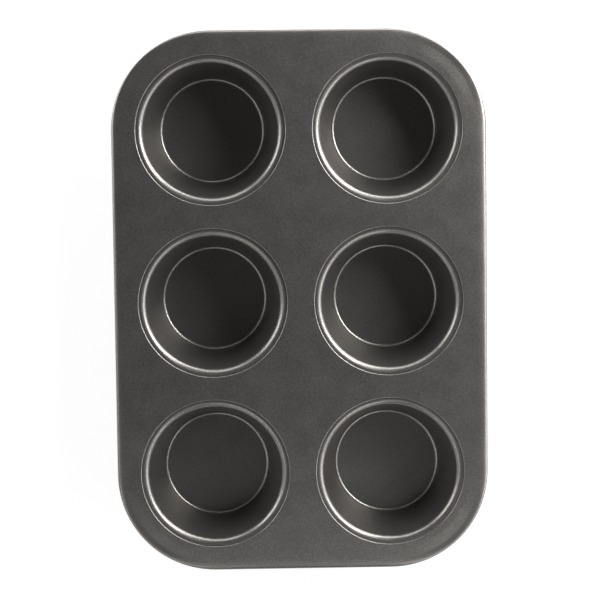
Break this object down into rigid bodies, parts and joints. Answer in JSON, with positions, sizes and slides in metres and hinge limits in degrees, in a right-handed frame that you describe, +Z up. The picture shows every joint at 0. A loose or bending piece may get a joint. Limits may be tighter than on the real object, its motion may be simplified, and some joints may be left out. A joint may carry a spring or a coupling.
{
  "type": "muffin pan",
  "caption": "Rectangular baking pan with rounded corners, a rolled and wired rim, and rows of tapered round cups for muffins, in dark non-stick coated steel.",
  "frame": {"origin": "on the table, under the middle of the pan", "axes": "+Y along the pan's length towards the back row of cups, +X towards the right-hand column, +Z up out of the cups"},
  "size_m": [0.1852, 0.2688, 0.0356],
  "materials": {
    "nonstick_coating": "dark grey non-stick coating on steel sheet, satin, with a fine metallic grain",
    "steel_wire": "plain drawn steel wire"
  },
  "bodies": {
    "root": {"top_plate": "nonstick_coating", "rim_wire": "steel_wire", "cup_back_left": "nonstick_coating", "cup_back_right": "nonstick_coating", "cup_middle_left": "nonstick_coating", "cup_middle_right": "nonstick_coating", "cup_front_left": "nonstick_coating", "cup_front_right": "nonstick_coating"}
  },
  "joints": []
}
